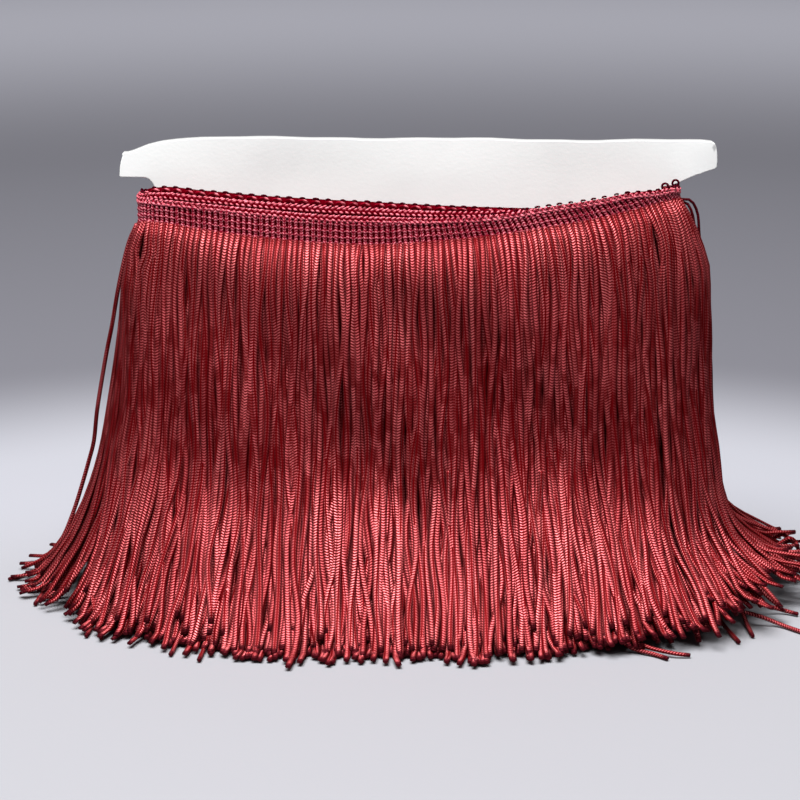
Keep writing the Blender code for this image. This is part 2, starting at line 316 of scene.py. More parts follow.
def paintedShadeStretches(tree, uv, tone):
    # painted shade: the stretches of a strand that are painted darker; each strand has its own
    along = splitVector(tree, uv)[1]
    noise = tree.nodes.new("ShaderNodeTexNoise")
    noise.noise_dimensions = "1D"
    setValues(noise, Scale=1.0, Detail=1.0)
    ownStart = times(tree, tone, shadeStreakSet["apart"])
    connect(tree, mathNode(tree, "MULTIPLY_ADD", along, shadeStreakSet["scale"], ownStart), noise.inputs["W"])
    shaded = rangeNode(tree, noise.outputs["Fac"], *shadeStreakSet["noise"])
    shaded = times(tree, shaded, rangeNode(tree, along, *shadeStreakSet["tipSide"]))
    return times(tree, shaded, rangeNode(tree, along, *shadeStreakSet["rootSide"]))


def makeYarn(name, look):
    made, tree, shader = newMaterial(name, look)
    setValues(shader, Specular_Tint=yarnSet["tint"])
    coordinates = tree.nodes.new("ShaderNodeTexCoord")
    uv = coordinates.outputs["UV"]
    tone = attributeNode(tree, "tone")
    chain = tree.nodes.new("ShaderNodeGroup")
    chain.node_tree = chainGroup
    connect(tree, uv, chain.inputs["Vector"])
    connect(tree, tone, chain.inputs["Tone"])
    setValues(chain, Stitch=look["stitch"], Rise=look["rise"])
    yarn = mixColour(tree, rangeNode(tree, tone, 0.0, 1.0), look["bright"], look["warmer"])
    # painted shade: the hollows between the stitches take the deep colour
    colour = mixColour(tree, chain.outputs["Yarn"], look["deep"], yarn)
    own = mathNode(tree, "FRACT", times(tree, tone, yarnSet["darkSpread"]))
    darker = rangeNode(tree, own, yarnSet["darkFrom"], 1.0, 0.0, look["uneven"])
    colour = mixColour(tree, darker, colour, look["deep"])
    # painted shade in stretches half way down the strand
    if "shadeStreaks" in look:
        shaded = paintedShadeStretches(tree, uv, tone)
        colour = mixColour(tree, times(tree, shaded, look["shadeStreaks"]), colour, look["deep"])
    # painted shade along the strand's two edges, which also have less silk
    edge = times(tree, chain.outputs["EdgeShade"], look["edge"])
    colour = mixColour(tree, edge, colour, look["deep"])
    if "silk" in look:
        stitches = rangeNode(tree, chain.outputs["Yarn"], 0.0, yarnSet["silkFull"], look["hollowSilk"], 1.0)
        shiny = times(tree, stitches, minus(tree, 1.0, edge))
        connect(tree, times(tree, shiny, look["silk"]), shader.inputs["Metallic"])
    cloudy = noiseNode(tree, coordinates.outputs["Object"], yarnSet["cloudScale"])
    clouded = rangeNode(tree, cloudy, *yarnSet["clouds"], 0.0, yarnSet["cloudShare"])
    colour = mixColour(tree, clouded, colour, look["deep"])
    if "tip" in look:
        colour = mixColour(tree, chain.outputs["Tip"], colour, look["tip"])
    connect(tree, colour, shader.inputs["Base Color"])
    raised = bumpNode(tree, chain.outputs["Height"], look["bump"], yarnSet["stitchHeight"])
    connect(tree, raised, shader.inputs["Normal"])
    return made


strandMaterial = makeYarn("crimsonStrand", strandYarn)
tapeMaterial = makeYarn("crimsonTape", tapeYarn)
knotMaterial = makeYarn("crimsonKnot", knotYarn)
shadeMaterial = makeYarn("crimsonShade", shadeYarn)
loopMaterial = makeYarn("shadedLoop", loopYarn)
shadedMaterial = makeYarn("shadedStrand", shadedYarn)
print("yarns: done")


# smooth curves and joined tubes
def curveThrough(xs, ys, x):
    # a smooth curve through the points, read at x
    xs, ys, x = np.asarray(xs, float), np.asarray(ys, float), np.asarray(x, float)
    slopes = np.gradient(ys, xs)
    x = np.clip(x, xs[0], xs[-1])
    at = np.clip(np.searchsorted(xs, x) - 1, 0, len(xs) - 2)
    span = xs[at + 1] - xs[at]
    t = (x - xs[at]) / span
    return (
        (2 * t**3 - 3 * t**2 + 1) * ys[at]
        + (t**3 - 2 * t**2 + t) * span * slopes[at]
        + (3 * t**2 - 2 * t**3) * ys[at + 1]
        + (t**3 - t**2) * span * slopes[at + 1]
    )


def unit(vectors):
    return vectors / np.maximum(np.linalg.norm(vectors, axis=-1, keepdims=True), 1e-9)


def tubes(paths, sideWays, radius, sides, tone, tall=None, closed=False, taper=1.0):
    # many tubes of one kind: paths is tube, point, xyz, and sideWays is where each one's first vertex looks.
    # tall is the radius across the side way, for a flat section, and taper narrows the last ring
    paths = np.asarray(paths, float)
    count, steps = paths.shape[:2]
    if closed:
        ahead = np.roll(paths, -1, axis=1) - np.roll(paths, 1, axis=1)
    else:
        ahead = np.gradient(paths, axis=1)
    ahead = unit(ahead)
    side = np.broadcast_to(sideWays, paths.shape)
    side = unit(side - ahead * np.sum(side * ahead, axis=-1, keepdims=True))
    across = np.cross(ahead, side)
    angles = 2 * math.pi * np.arange(sides) / sides
    wide = np.broadcast_to(radius, (count, steps)).copy()
    thick = wide if tall is None else np.broadcast_to(tall, (count, steps))
    if not closed:
        wide[:, -1] = wide[:, -1] * taper
    ring = (
        side[:, :, None, :] * (wide[:, :, None] * np.cos(angles))[..., None]
        + across[:, :, None, :] * (thick[:, :, None] * np.sin(angles))[..., None]
    )
    points = (paths[:, :, None, :] + ring).reshape(-1, 3)
    lengths = np.linalg.norm(np.diff(paths, axis=1), axis=-1)
    along = np.concatenate([np.zeros((count, 1)), np.cumsum(lengths, axis=1)], axis=1)
    fromTip = (along[:, -1:] - along) * 1000.0
    spans = steps if closed else steps - 1
    start = (np.arange(count) * steps * sides)[:, None, None]
    step = np.arange(spans)[None, :, None]
    k = np.arange(sides)[None, None, :]
    after = (k + 1) % sides
    here = start + step * sides
    there = start + ((step + 1) % steps) * sides
    quads = np.stack([here + k, here + after, there + after, there + k], axis=-1).reshape(-1, 4)
    high = fromTip[:, 1:]
    if closed:
        high = np.concatenate([high, fromTip[:, -1:] - 0.5], axis=1)  # its last span, half a millimetre
    low, high, left = np.broadcast_arrays(fromTip[:, :spans, None], high[:, :, None], k / sides)
    right = left + 1.0 / sides
    uvs = np.stack(
        [np.stack(pair, axis=-1) for pair in ((left, low), (right, low), (right, high), (left, high))],
        axis=-2,
    ).reshape(-1, 2)
    faces = [(quads, uvs, True)]
    if not closed:
        root = start[:, 0] + np.arange(sides)
        tip = root + (steps - 1) * sides
        for cap, length in ((root[:, ::-1], fromTip[:, 0]), (tip, fromTip[:, -1])):
            flat = np.stack([np.full(count, 0.5), length], axis=-1)
            faces.append((cap, np.repeat(flat, sides, axis=0), False))
    tones = np.repeat(np.broadcast_to(tone, count), steps * sides)
    return {"points": points, "tones": tones, "faces": faces}


def joinParts(name, parts, material):
    # one mesh of many tubes, with its UV map and its tone attribute
    points = np.concatenate([part["points"] for part in parts])
    tones = np.concatenate([part["tones"] for part in parts])
    corners, starts, uvs, smooth = [], [], [], []
    offset, loops = 0, 0
    for part in parts:
        for faces, places, soft in part["faces"]:
            corners.append((faces + offset).ravel())
            starts.append(loops + faces.shape[1] * np.arange(len(faces)))
            uvs.append(places)
            smooth.append(np.full(len(faces), soft))
            loops += faces.size
        offset += len(part["points"])
    mesh = bpy.data.meshes.new(name)
    mesh.vertices.add(len(points))
    mesh.vertices.foreach_set("co", points.astype(np.float32).ravel())
    mesh.loops.add(loops)
    mesh.loops.foreach_set("vertex_index", np.concatenate(corners).astype(np.int32))
    starts = np.concatenate(starts).astype(np.int32)
    mesh.polygons.add(len(starts))
    mesh.polygons.foreach_set("loop_start", starts)
    mesh.uv_layers.new(name="UVMap").data.foreach_set("uv", np.concatenate(uvs).astype(np.float32).ravel())
    mesh.attributes.new("tone", "FLOAT", "POINT").data.foreach_set("value", tones.astype(np.float32))
    mesh.update(calc_edges=True)
    mesh.validate()
    mesh.polygons.foreach_set("use_smooth", np.concatenate(smooth))
    mesh.materials.append(material)
    triangles = sum(len(p.vertices) - 2 for p in mesh.polygons)
    print(f"{name}: {triangles} triangles")
    return addObject(name, mesh)


# the roll as seen from above: the turns lie inside each other round the card
roll = {
    "middleX": (rollLow.x + rollHigh.x) / 2,
    "halfLength": (rollHigh.x - rollLow.x) / 2 - 0.001,
    "halfDepth": rollHigh.y - 0.0003,
    "roundness": 3.0,
    "endPower": 3.0,  # how quickly a turn's front becomes its end
    "fanRoundness": 2.4,  # the strands spread a little more evenly than the roll is round
    "turns": 10,
    "turnDepth": 0.00235,  # from turn to turn at the front and back
    "endShare": 0.27,  # the turns lie closer at the two ends
    "crestTurn": 2,  # the highest one
    "sink": 0.0009,  # how much lower each turn lies beyond it
    "shift": 0.37,  # a turn's ribs stand this share of a rib further on than the last one's
}
# heights of the tape: its lower edge, the outer turn's top and the highest turn's loops
tapeEdge = {
    "x": (
        -0.0943, -0.0915, -0.089, -0.085, -0.072, -0.052, -0.032, -0.013, 0.007, 0.026, 0.046,
        0.06, 0.073, 0.082, 0.086, 0.0877,
    ),
    "lower": (
        0.1279, 0.1296, 0.1302, 0.1303, 0.129, 0.1268, 0.1252, 0.1247, 0.1259, 0.1279, 0.1308,
        0.1331, 0.1356, 0.1372, 0.1371, 0.1364,
    ),
    "outer": (
        0.1373, 0.138, 0.1383, 0.1384, 0.138, 0.1366, 0.135, 0.1343, 0.1342, 0.1352, 0.1382,
        0.14, 0.142, 0.1418, 0.1413, 0.1394,
    ),
    "crest": (
        0.1374, 0.1396, 0.1412, 0.1422, 0.1419, 0.1406, 0.1395, 0.1386, 0.1376, 0.137, 0.1366,
        0.137, 0.1395, 0.1409, 0.1404, 0.1388,
    ),
}
outlineSamples = 4000


def lowerEdge(x):
    return curveThrough(tapeEdge["x"], tapeEdge["lower"], x)


def tapeHeight(x, turn):
    # from the lower edge up: the turns rise to the highest one and sink again towards the card
    outer = curveThrough(tapeEdge["x"], tapeEdge["outer"], x)
    crest = curveThrough(tapeEdge["x"], tapeEdge["crest"], x)
    beyond = max(0.0, turn - roll["crestTurn"])
    upper = outer + (crest - outer) * min(1.0, turn / roll["crestTurn"]) - roll["sink"] * beyond
    return upper - lowerEdge(x)


def smoothStep(low, high, x):
    t = np.clip((x - low) / (high - low), 0.0, 1.0)
    return t * t * (3.0 - 2.0 * t)


def signedPower(value, power):
    return np.sign(value) * np.abs(value) ** power


def turnOutline(inset):
    # places along a turn that starts at the back, with the way out and the length up to each
    angle = np.linspace(0.0, 2 * math.pi, outlineSamples) + math.pi / 2
    power = 2.0 / roll["roundness"]
    halfLength = roll["halfLength"] - inset * roll["endShare"]
    halfDepth = roll["halfDepth"] - inset
    fullX = signedPower(np.cos(angle), power)
    fullY = signedPower(np.sin(angle), power)
    x = halfLength * fullX
    y = halfDepth * fullY
    fan = roll["fanRoundness"] - 1.0
    out = np.stack([
        signedPower(fullX, fan) / roll["halfLength"],
        signedPower(fullY, fan) / roll["halfDepth"],
    ], axis=-1)
    along = np.concatenate([[0.0], np.cumsum(np.hypot(np.diff(x), np.diff(y)))])
    end = signedPower(fullX, roll["endPower"])
    return {"x": x, "y": y, "out": unit(out), "along": along, "girth": along[-1], "end": end}


def placesOn(outline, at):
    at = np.mod(at, outline["girth"])
    place = {key: np.interp(at, outline["along"], outline[key]) for key in ("x", "y", "end")}
    place["x"] = place["x"] + roll["middleX"]
    place["left"] = np.clip(-place["end"], 0.0, 1.0)
    place["right"] = np.clip(place["end"], 0.0, 1.0)
    place["at"] = at
    out = np.stack([np.interp(at, outline["along"], outline["out"][:, k]) for k in (0, 1)], axis=-1)
    place["out"] = np.concatenate([unit(out), np.zeros((len(at), 1))], axis=1)
    place["side"] = np.stack([-place["out"][:, 1], place["out"][:, 0], np.zeros(len(at))], axis=-1)
    return place


def turnAt(turn):
    return turnOutline(turn * roll["turnDepth"])


def ribCount(outline):
    return int(outline["girth"] / strands["pitch"])


# strands
strands = {
    "pitch": 0.00189,
    "radius": 0.00094,
    "flat": 0.52,  # how thick a strand is, a share of its width
    "wider": 1.18,  # how much wider it is at its tip
    "cutTaper": 0.88,  # but for the cut end itself
    "length": 0.1408,  # below the tape
    "innerLonger": 0.001,  # how much longer each of the next turns hangs, up to the third
    "leftShorter": 0.0045,
    "rightCorner": 0.22,  # the strands at this corner swing out further
    "lengthSpread": 0.005,
    "rootLift": 0.0006,  # above the tape's lower edge
    "drop": (1.0, 0.92, 0.7, 0.4, 0.2, 0.08, 0.0),  # share of the root's height that is left
    "front": (0.0, 0.0064, 0.0092, 0.0144, 0.029, 0.0412, 0.0515),
    "left": (0.0, 0.0032, 0.0068, 0.0122, 0.0222, 0.0322, 0.0404),
    "right": (0.0, 0.004, 0.0074, 0.0106, 0.0168, 0.0356, 0.0526),
    "rightLonger": 0.004,
    "endFrom": 0.25,  # the extra layers of the right end start here
    "innerHold": 0.18,  # the innermost turns swing out this much less
    "swing": 0.03,  # how differently neighbours swing out
    "tail": 0.06,  # how far they could lie along the floor beyond that
    "heapFront": 0.0014,  # height of the heap that the outer strands lie on
    "heapLeft": 0.003,
    "heapRight": 0.0175,
    "heapBehind": (-0.005, 0.022),  # the right one is lower beyond these depths
    "heapEnds": (0.034, 0.05),  # the heap falls towards the floor between these distances
    "heapFalls": 0.45,  # but a share of it stays, so that cut ends lie over each other
    "blend": 0.0014,  # how softly a strand bends onto the heap
    "press": 0.6,  # the inner turns push forward between the outer ones, a share of their depth
    "pressSpread": 0.0006,
    "freeAfter": 0.024,  # below this much of its length a strand strays freely
    "drift": 0.0018,  # sideways, up to the tip
    "strayFrom": (0.55, 0.9),
    "lean": 0.0032,  # the strands at the right start out aslant
    "leanPlace": (-0.02, 0.07),
    "leanWithin": 0.014,
}
strandWaves = {  # height, lengths along the roll and down a strand, own share, seed, count
    "gather": (0.0004, 0.011, 0.15, 1.0, 7, 6),
    "bend": (0.0006, 1.0, 0.07, 977.0, 40, 4),
    "stray": (0.0013, 1.0, 0.09, 613.0, 130, 4),
    "ripple": (0.0008, 0.03, 0.1, 1.0, 70, 6),
}
strandLayers = (
    {"name": "outerStrands", "turns": (0, 0.5), "endTurns": (), "sides": 6, "steps": 27},
    {"name": "middleStrands", "turns": (1, 1.5), "endTurns": (2.5, 3.5), "sides": 5, "steps": 24},
    {"name": "innerStrands", "turns": (2, 3, 4.5, 6, 7.5, 9), "endTurns": (), "sides": 4, "steps": 18},
)
partings = (  # places where strands lie apart: x, start and end below the tape, half width
    {"x": -0.0895, "start": 0.002, "end": 0.017, "width": 0.0017},
    {"x": -0.088, "start": 0.06, "end": 0.104, "width": 0.001},
    {"x": -0.018, "start": 0.0, "end": 0.016, "width": 0.0007},
    {"x": 0.074, "start": 0.004, "end": 0.026, "width": 0.0012},
)
partingReach = 0.004  # strands this far away on both sides give way


def fallProfiles(place, further, scale, length, steps):
    # each strand's way out and height at equal steps along its length
    rows = np.arange(len(strands["drop"]))
    dense = np.linspace(0, len(rows) - 1, 70)
    drop = np.clip(curveThrough(rows, strands["drop"], dense), 0.0, 1.0)
    front, left, right = (curveThrough(rows, strands[side], dense) for side in ("front", "left", "right"))
    rootZ = lowerEdge(place["x"]) + strands["rootLift"]
    outs, heights = [], []
    for k in range(len(rootZ)):
        out = front + (left - front) * place["left"][k] + (right - front) * place["right"][k]
        out = out * (scale[k] + further[k] * (1.0 - drop))
        out = np.append(out, out[-1] + strands["tail"])
        height = np.append(rootZ[k] * drop, 0.0)
        gone = np.concatenate([[0.0], np.cumsum(np.hypot(np.diff(out), np.diff(height)))])
        wanted = np.linspace(0.0, length[k], steps)
        outs.append(np.interp(wanted, gone, out))
        heights.append(np.interp(wanted, gone, height))
    return np.array(outs), np.array(heights)


def strandWave(kind, turn, at, gone):
    # an uneven wavy field over the places along a turn and the lengths down its strands
    high, along, down, own, seed, count = strandWaves[kind]
    chance = np.random.default_rng(seed + int(2 * turn))
    at = at * own
    total = 0.0
    for _ in range(count):
        lean = chance.normal(size=2)
        phase = chance.uniform(0.0, 2 * math.pi)
        total = total + np.sin(2 * math.pi * (lean[0] * at / along + lean[1] * gone / down) + phase)
    return high * (total / math.sqrt(count / 2))


def strandPaths(turn, steps, endOnly=False):
    # one turn's strands, or only those at its right end, where the turns are many and close
    chance = np.random.default_rng(int(100 + 2 * turn))
    outline = turnAt(turn)
    count = ribCount(outline)
    rib = np.arange(count) + turn + roll["shift"] * int(turn)
    place = placesOn(outline, rib * outline["girth"] / count)
    if endOnly:
        kept = place["end"] > strands["endFrom"]
        place = {key: value[kept] for key, value in place.items()}
        count = int(kept.sum())
    depth = turn / (roll["turns"] - 1)
    leftShare, rightShare = place["left"], place["right"]
    length = strands["length"] + strands["lengthSpread"] * np.clip(chance.normal(size=count), -1.8, 1.8)
    length = length + strands["rightLonger"] * rightShare - strands["leftShorter"] * leftShare
    length = length + strands["innerLonger"] * min(turn, 3) * (1.0 - leftShare) * (1.0 - rightShare)
    aslant = 2.0 * np.abs(place["out"][:, 0] * place["out"][:, 1])
    corner = strands["rightCorner"] * aslant * (place["out"][:, 0] > 0.0)
    scale = 1.0 - strands["innerHold"] * depth**1.5 + corner
    further = strands["swing"] * chance.normal(size=count)
    out, height = fallProfiles(place, further, scale, length, steps)
    share = np.linspace(0.0, 1.0, steps)[None, :]
    gone = share * length[:, None]
    u = place["at"][:, None]
    # the strands lie on a heap that falls to the floor further out, but not at the right
    upper = chance.uniform(0.75, 1.0, count) if turn < 2 else chance.uniform(0.0, 0.9, count)
    upper = upper + (chance.uniform(0.0, 1.0, count) - upper) * rightShare
    heap = strands["heapFront"] * (1.0 - leftShare - rightShare) + strands["heapLeft"] * leftShare
    fallen = smoothStep(*strands["heapEnds"], out)
    heap = (heap * (1.0 - depth) ** 1.3)[:, None] * (1.0 - strands["heapFalls"] * fallen)
    inFront = 1.0 - 0.8 * smoothStep(*strands["heapBehind"], place["y"])
    heap = heap + (strands["heapRight"] * rightShare * inFront * (1.0 - 0.3 * depth))[:, None]
    lie = strands["radius"] + heap * upper[:, None]
    blend = strands["blend"]
    height = (height + lie) / 2 + np.sqrt(((height - lie) / 2) ** 2 + (blend / 2) ** 2) - blend * 0.2
    height = np.maximum(height, strands["radius"])
    # neighbours gather in locks, cross a little and drift apart towards their tips
    free = np.clip(gone / strands["freeAfter"], 0.0, 1.0)
    side = free * (strandWave("gather", turn, u, gone) + strandWave("bend", turn, u, gone))
    side = side + strands["drift"] * chance.normal(size=(count, 1)) * share**1.6
    side = side + strandWave("stray", turn, u, gone) * smoothStep(*strands["strayFrom"], share)
    lean = strands["lean"] * smoothStep(*strands["leanPlace"], place["x"]) * (place["y"] < 0.0)
    side = side + lean[:, None] * (1.0 - np.exp(-gone / strands["leanWithin"]))
    if turn < 3:
        for row in partings:
            away = (place["x"] - row["x"])[:, None]
            part = np.clip((gone - row["start"]) / (row["end"] - row["start"]), 0.0, 1.0)
            push = row["width"] * np.sin(math.pi * part) ** 2 * np.exp(-((away / partingReach) ** 2))
            push = push * np.where(away > 0.0, 1.0, -1.0)
            side = side + push * (place["y"] < 0.0)[:, None]
    press = strands["press"] * roll["turnDepth"] * min(turn, 1.5)
    press = press + strands["pressSpread"] * chance.uniform(-1.0, 1.0, (count, 1))
    out = out + free * (strandWave("ripple", 0, u, gone) + press)
    root = np.stack([place["x"], place["y"], np.zeros(count)], axis=-1)[:, None, :]
    sideWays = place["side"][:, None, :]
    paths = root + place["out"][:, None, :] * out[..., None] + sideWays * side[..., None]
    paths[..., 2] = height
    return paths, sideWays, chance.uniform(0.0, 1.0, count)


madeStrands = {}
for layer in strandLayers:
    parts = []
    for turn in (*layer["turns"], *layer["endTurns"]):
        paths, sideWays, tone = strandPaths(turn, layer["steps"], turn in layer["endTurns"])
        wide = strands["radius"] * np.linspace(1.0, strands["wider"], layer["steps"])[None, :]
        thick = wide * strands["flat"]
        taper = strands["cutTaper"]
        parts.append(tubes(paths, sideWays, wide, layer["sides"], tone, tall=thick, taper=taper))
    madeStrands[layer["name"]] = joinParts(layer["name"], parts, strandMaterial)
print("strands: done")

# loose strands that lie off the rest, given one by one: points in millimetres
looseRoutes = {
    "offTheLeft": (
        (-94.3, -4, 127.7), (-97.5, -3, 120.4), (-101, -3, 106.5), (-103.8, -2, 92.5), (-105.8, -2, 83.6),
        (-108.3, -1, 71.2), (-110, -1, 61.5), (-111.4, 0, 51.3), (-113.4, 1, 44), (-116.2, 1, 34.8),
        (-119.3, 2, 25.6), (-123.2, 2, 16.3), (-127.6, 3, 10.3), (-132, 3, 6.8), (-138.5, 4, 3.6),
    ),
    "looseArc": (
        (100.4, 4, 53.8), (102, 5, 40.9), (103.8, 6, 32.6), (106.5, 7, 26), (109.9, 8, 22.8),
        (114.7, 9, 19.5), (119.1, 11, 17.3), (123.2, 12, 15.5), (126.9, 13, 14), (130, 14, 12.2),
        (132.3, 15, 10), (134.4, 16, 7.4),
    ),
    "curl": (
        (119.8, 13, 8), (123.1, 15, 10), (126, 13, 12), (128.7, 13, 13), (130.4, 14, 11), (129.8, 16, 8),
    ),
    "nextCurl": (
        (122.3, 10, 6), (125.3, 10, 9), (128.7, 12, 11), (131.2, 12, 12), (133.4, 13, 10), (134, 9, 8),
    ),
    "rightTip": (
        (96, -37.8, 10), (97.7, -44.5, 6), (99.7, -47.9, 3), (102.1, -53.5, 1.2), (104.2, -63.4, 1),
    ),
    "nextTip": ((106.7, -37.8, 10), (107.6, -39.7, 5), (108.5, -47, 2), (109.4, -57.7, 1)),
    "lowTip": (
        (108.6, -42.8, 4), (114, -44.9, 3), (119.8, -46.8, 1.2), (125.5, -53, 1), (129.8, -57.7, 1),
    ),
    "farTip": ((112, -34.6, 5), (117.5, -34, 3), (122.6, -33.8, 1.5), (127.3, -36.4, 1)),
    "lyingAlong": ((58, -56, 8), (63, -64, 5), (68, -70, 1.8), (75.5, -74.5, 1), (79.5, -78.4, 1)),
    "lyingHigher": ((60, -58, 8), (66, -66, 5), (73, -71, 2.4), (81, -75, 1.6), (87, -75.5, 1)),
    "leftTip": ((-123.8, 1, 12), (-128.6, 3.5, 6), (-133, 4.7, 3), (-137.9, 4.1, 1), (-142.6, -0.2, 1)),
    "leftNext": ((-125, -1.9, 10), (-129.2, -2.3, 5), (-132.9, -2.1, 2), (-136.3, -12.9, 1)),
    "leftDown": ((-124.8, -3.3, 9), (-127.2, -7.9, 4), (-128.9, -14, 1), (-130, -26.3, 1)),
    "leftFront": ((-106.1, -41, 9), (-106.6, -43.6, 5), (-107.6, -47, 2), (-109.1, -57.7, 1)),
    "longLeft": ((-76, -52, 8), (-77.5, -60, 4), (-79, -68, 1.5), (-80, -75, 1)),
    "longLeftNext": ((-67, -54, 8), (-68, -62, 4), (-69.5, -71, 1.5), (-70.5, -80, 1)),
    "longRight": ((52, -52, 8), (54, -58, 4), (56, -63, 1.5), (57.5, -68, 1)),
    "leftFrontNext": ((-108.7, -41, 9), (-107.4, -45.6, 5), (-106, -49.9, 2), (-103.9, -59.6, 1)),
    "crossingRight": (
        (9.6, -39.5, 52), (9.9, -43.8, 39.6), (10.2, -47.9, 28.8), (11.2, -51.5, 22.5),
        (13.7, -56.5, 16.4), (18.6, -60.1, 12), (27.3, -63.7, 8.5),
    ),
    "crossingLeft": (
        (40.3, -39.3, 52), (39.9, -43.6, 39.6), (39.2, -47.7, 28.8), (37.8, -50.4, 23.5),
        (34.7, -55.4, 17.3), (30, -59.9, 11.7), (26, -63.5, 8),
    ),
}
archedRoutes = {  # two strands at the right end that arch out thinly
    "rightArc": (
        (86.4, 0, 134.7), (89.1, 0, 135.4), (91.2, 0, 135), (92.9, 1, 132.9), (94.1, 1, 129.4),
        (94.6, 1, 123.9), (95.5, 2, 117.6), (96.8, 2, 110), (98.1, 2, 100.2), (99.1, 2, 89.7),
        (100.2, 2, 77.3), (100.9, 3, 66.6), (102, 3, 54.1), (103.2, 3, 39.6), (105, 4, 28.7),
        (107.7, 4, 19.5), (112.5, 4, 12.1),
    ),
    "rightInnerArc": (
        (86.6, 1, 133.9), (89.2, 1, 134.3), (90.9, 0, 133), (92.3, 0, 129.3), (93.1, 0, 124.2),
        (94.2, -1, 118.1), (95.4, -1, 110.6), (96.4, -1, 101), (97, -2, 90.6), (98, -2, 78.4),
        (98.6, -2, 68), (99.6, -3, 55.7), (100.7, -3, 41.5), (102, -3, 30.8), (104.3, -4, 21.9),
        (108.7, -4, 12.9),
    ),
}
looseSet = {"radius": 0.00072, "thin": 0.00048, "steps": 60, "sides": 6}


def alongRoute(points, steps):
    points = np.asarray(points, float) / 1000.0
    rows = np.arange(len(points))
    dense = np.linspace(0, len(rows) - 1, 300)
    curve = np.stack([curveThrough(rows, points[:, k], dense) for k in range(3)], axis=-1)
    gone = np.concatenate([[0.0], np.cumsum(np.linalg.norm(np.diff(curve, axis=0), axis=1))])
    wanted = np.linspace(0.0, gone[-1], steps)
    return np.stack([np.interp(wanted, gone, curve[:, k]) for k in range(3)], axis=-1)


def looseTubes(table, radius):
    routes = np.array([alongRoute(points, looseSet["steps"]) for points in table.values()])
    routes[..., 2] = np.maximum(routes[..., 2], radius)
    sideWays = np.cross(np.gradient(routes, axis=1), (0.0, 1.0, 0.0))
    tones = np.linspace(0.0, 1.0, len(routes))
    return tubes(routes, sideWays, radius, looseSet["sides"], tones, taper=strands["cutTaper"])


looseStrands = joinParts("looseStrands", [looseTubes(looseRoutes, looseSet["radius"])], strandMaterial)
# the two arched strands take the painted-shade copy of the strand yarn
archedStrands = joinParts("archedStrands", [looseTubes(archedRoutes, looseSet["thin"])], shadedMaterial)
print("loose strands: done")


# the heading tape: ribs that run up through chain rows to plump stitches, and loops along its edge painted
# dark as shade
tape = {
    "ribRadius": 0.00058,
    "beadRadius": 0.00072,
    "beadHalf": 0.00045,
    "beadProud": 0.00015,
    "ribHeights": (-0.0004, 0.0082, 0.00052),  # from, to and step, above the lower edge
    "ribSink": 0.0002,
    "rowRadius": 0.00018,
    "rowSwing": 0.00012,
    "rowSteps": 4,  # points of a chain row to each rib
    "rows": (0.0003, 0.0023, 0.0044, 0.0066),
    "slant": 0.0042,  # the ribs lean towards the right end
    "slantPlace": (-0.03, 0.06),
    "clothRadius": 0.0006,
    "clothSteps": 240,
    "clothBehind": 0.0007,
    "clothTop": 0.0012,  # the cloth ends this far below the edge
    "clothFoot": 0.0015,
    "backSink": 0.0034,  # at the two ends the back of the tape lies lower
    "backFrom": (0.0, 0.01),
    "backEnds": (0.25, 0.8),
}
plump = {"phase": 0.0, "half": 0.00062, "radius": 0.00038, "slope": 0.0, "perRib": 1.0, "steps": 4}
bent = {**plump, "phase": 0.5, "perRib": 0.45, "steps": 6}
# how far below the edge, and what is unlike a plump stitch: where it starts, half its length, radius, slope.
# the few and long ones are bent upwards, and those with after stand only in front, beyond that x
stitchRows = {
    "top": {**plump, "below": 0.0005, "slope": 0.45},
    "under": {**plump, "below": 0.00175, "phase": 0.5, "slope": -0.45},
    "third": {**plump, "below": 0.003, "half": 0.0006, "radius": 0.00037, "slope": 0.45},
    "arch": {**bent, "below": 0.00135, "half": 0.00165, "radius": 0.00044},
    "latticeUpper": {**plump, "below": 0.00265, "phase": 0.2, "slope": 0.5},
    "latticeLower": {**plump, "below": 0.0039, "phase": 0.7, "slope": -0.5},
    "loop": {**bent, "below": 0.00045, "half": 0.00105},
    "edgeLoop": {**bent, "below": -0.0002, "half": 0.0009, "radius": 0.00034, "perRib": 0.5, "after": 0.022},
}
stitchSet = {
    "jitter": 0.05,
    "sizes": (0.85, 1.12),
    "thinEnds": 0.45,
    "proud": 0.00015,
    "prouder": 0.00035,  # and this much more in its middle
    "bend": 0.45,  # how much an arch or a loop is bent, a share of its half length
    "bendFoot": 0.4,  # the share of that by which its middle stands higher
    "tones": 8,
}
openLoops = {  # two open loops at the right end: middle and half width, in millimetres
    "places": ((85.5, -5.5, 141.8), (81.7, -9.2, 141.3)),
    "wide": 1.05,
    "radius": 0.0004,
    "steps": 14,
}


def onTurn(turn, at, level, proud):
    # points on a turn: level is the height above its lower edge
    outline = turnAt(turn)
    place = placesOn(outline, at)
    share = np.clip(level / np.maximum(tapeHeight(place["x"], turn), 0.001), 0.0, 1.2)
    lean = tape["slant"] * smoothStep(*tape["slantPlace"], place["x"]) * (place["y"] < 0.0)
    place = placesOn(outline, at - lean * share)
    points = np.stack([place["x"], place["y"], lowerEdge(place["x"]) + level], axis=-1)
    return points + place["out"] * np.asarray(proud)[..., None], place


def edgeLevel(turn, at, below):
    # the height above the lower edge of a place this far below the upper edge
    place = placesOn(turnAt(turn), at)
    atBack = smoothStep(*tape["backFrom"], place["y"]) * smoothStep(*tape["backEnds"], np.abs(place["end"]))
    return tapeHeight(place["x"], turn) - below - tape["backSink"] * atBack


